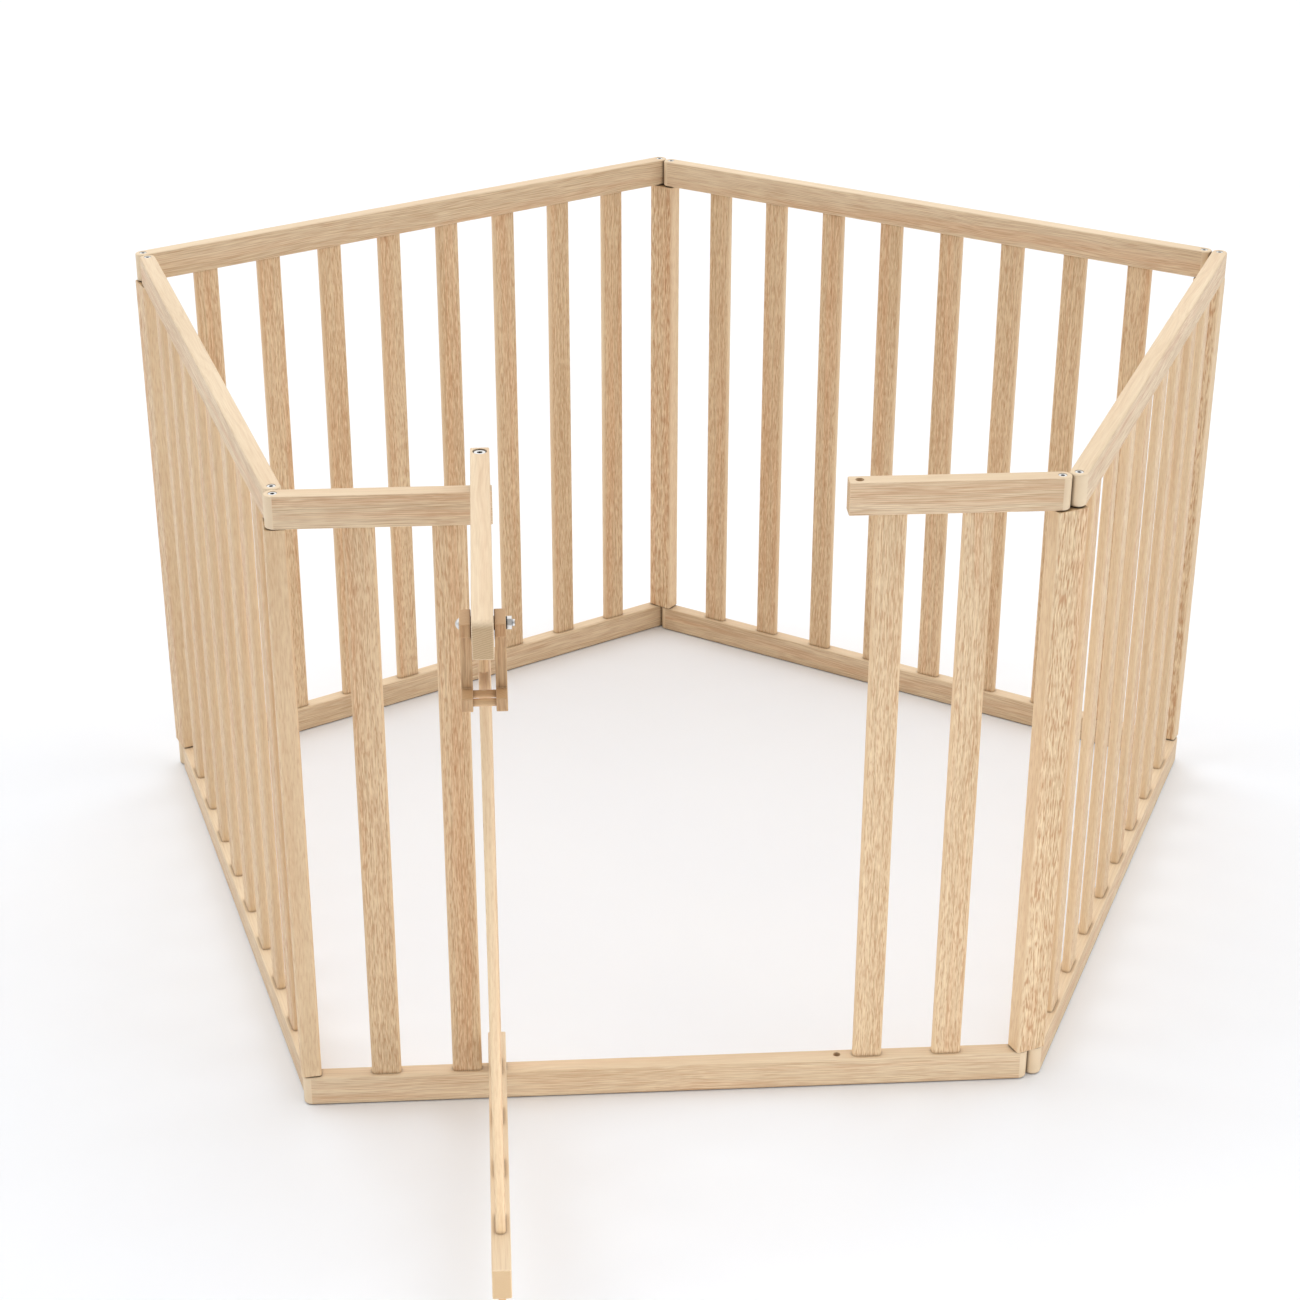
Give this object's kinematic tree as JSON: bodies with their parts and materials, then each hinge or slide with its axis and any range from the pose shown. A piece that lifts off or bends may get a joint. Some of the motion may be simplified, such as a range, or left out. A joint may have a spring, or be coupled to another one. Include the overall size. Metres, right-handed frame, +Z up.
{
  "type": "playpen",
  "caption": "Free-standing wooden playpen of slatted railings on hinged corner posts, with a swinging gate that lifts off its pegs and a hanging wooden latch.",
  "frame": {"origin": "middle of the whole object's bounding box at floor level, with the gate open at rest", "axes": "+Z up; +Y from the doorway to the rear corner; +X to the right when facing the doorway"},
  "size_m": [1.3638, 1.5894, 0.759],
  "materials": {
    "rail_wood": "sanded and clear oiled light hardwood, grain along the rail",
    "slat_wood": "sanded and clear oiled light hardwood, grain upright",
    "post_wood": "sanded and clear oiled light hardwood, grain upright",
    "latch_wood": "sanded and clear oiled light hardwood",
    "dowel_wood": "turned hardwood dowel",
    "steel": "satin zinc-plated steel",
    "brass": "plain turned brass",
    "black_nylon": "matt black nylon"
  },
  "bodies": {
    "front_railing": {"front_bottom_rail": "rail_wood", "front_left_top_rail": "rail_wood", "front_right_top_rail": "rail_wood", "front_slat_1": "slat_wood", "front_slat_2": "slat_wood", "front_slat_3": "slat_wood", "front_slat_4": "slat_wood", "gate_hinge_bolt": "steel", "gate_hinge_insert": "brass", "gate_pivot_pin": "steel"},
    "front_left_corner": {"front_left_post": "post_wood", "front_left_bolts": "steel", "front_left_inserts": "brass", "front_left_washers": "black_nylon"},
    "left_corner": {"left_post": "post_wood", "left_bolts": "steel", "left_inserts": "brass", "left_washers": "black_nylon"},
    "rear_corner": {"rear_post": "post_wood", "rear_bolts": "steel", "rear_inserts": "brass", "rear_washers": "black_nylon"},
    "right_corner": {"right_post": "post_wood", "right_bolts": "steel", "right_inserts": "brass", "right_washers": "black_nylon"},
    "front_right_corner": {"front_right_post": "post_wood", "front_right_bolts": "steel", "front_right_inserts": "brass", "front_right_washers": "black_nylon"},
    "left_railing": {"left_panel_top_rail": "rail_wood", "left_panel_bottom_rail": "rail_wood", "left_panel_slats": "slat_wood"},
    "back_left_railing": {"back_left_panel_top_rail": "rail_wood", "back_left_panel_bottom_rail": "rail_wood", "back_left_panel_slats": "slat_wood"},
    "back_right_railing": {"back_right_panel_top_rail": "rail_wood", "back_right_panel_bottom_rail": "rail_wood", "back_right_panel_slats": "slat_wood", "back_right_panel_bolts": "steel"},
    "right_railing": {"right_panel_top_rail": "rail_wood", "right_panel_bottom_rail": "rail_wood", "right_panel_slats": "slat_wood"},
    "gate_swivel": {"gate_spacers": "black_nylon"},
    "gate": {"gate_top_rail": "rail_wood", "gate_bottom_rail": "rail_wood", "gate_slat_1": "slat_wood", "gate_slat_2": "slat_wood", "gate_slat_3": "slat_wood", "gate_slat_4": "slat_wood", "gate_top_peg": "dowel_wood", "gate_bottom_peg": "dowel_wood"},
    "latch": {"latch_left_cheek": "latch_wood", "latch_right_cheek": "latch_wood", "latch_front_dowel": "dowel_wood", "latch_rear_dowel": "dowel_wood", "latch_bolt": "steel", "latch_nut": "steel", "latch_washers": "black_nylon"}
  },
  "joints": [
    {"name": "front_left_corner_turn", "type": "hinge", "parent": "front_railing", "child": "front_left_corner", "pos_m": [-0.45757, -0.40567, 0.36], "axis": [0, 0, 1], "range_deg": [0, 85]},
    {"name": "left_railing_turn", "type": "hinge", "parent": "front_left_corner", "child": "left_railing", "pos_m": [-0.45996, -0.38621, 0.36], "axis": [0, 0, 1], "range_deg": [0, 20]},
    {"name": "left_corner_turn", "type": "hinge", "parent": "left_railing", "child": "left_corner", "pos_m": [-0.66184, 0.36721, 0.36], "axis": [0, 0, 1], "range_deg": [0, 20]},
    {"name": "back_left_railing_turn", "type": "hinge", "parent": "left_corner", "child": "back_left_railing", "pos_m": [-0.6695, 0.38525, 0.36], "axis": [0, 0, 1], "range_deg": [0, 85]},
    {"name": "rear_corner_turn", "type": "hinge", "parent": "back_left_railing", "child": "rear_corner", "pos_m": [0.00194, 0.7822, 0.36], "axis": [0, 0, 1], "range_deg": [0, 75]},
    {"name": "front_right_corner_turn", "type": "hinge", "parent": "front_railing", "child": "front_right_corner", "pos_m": [0.32243, -0.40567, 0.36], "axis": [0, 0, 1], "range_deg": [-25, 0]},
    {"name": "right_railing_turn", "type": "hinge", "parent": "front_right_corner", "child": "right_railing", "pos_m": [0.3406, -0.39833, 0.36], "axis": [0, 0, 1], "range_deg": [-45, 0]},
    {"name": "right_corner_turn", "type": "hinge", "parent": "right_railing", "child": "right_corner", "pos_m": [0.67024, 0.30859, 0.36], "axis": [0, 0, 1], "range_deg": [-85, 0]},
    {"name": "back_right_railing_turn", "type": "hinge", "parent": "right_corner", "child": "back_right_railing", "pos_m": [0.65362, 0.31898, 0.36], "axis": [0, 0, 1], "range_deg": [-25, 0]},
    {"name": "gate_swing", "type": "hinge", "parent": "front_railing", "child": "gate_swivel", "pos_m": [-0.25457, -0.40567, 0.36], "axis": [0, 0, 1], "range_deg": [-44, 90]},
    {"name": "gate_lift", "type": "slide", "parent": "gate_swivel", "child": "gate", "axis": [0, 0, 1], "range_m": [0, 0.018]},
    {"name": "latch_swing", "type": "hinge", "parent": "gate", "child": "latch", "pos_m": [-0.25457, -0.75817, 0.7415], "axis": [-1, 0, 0], "range_deg": [-5.8, 244]}
  ]
}
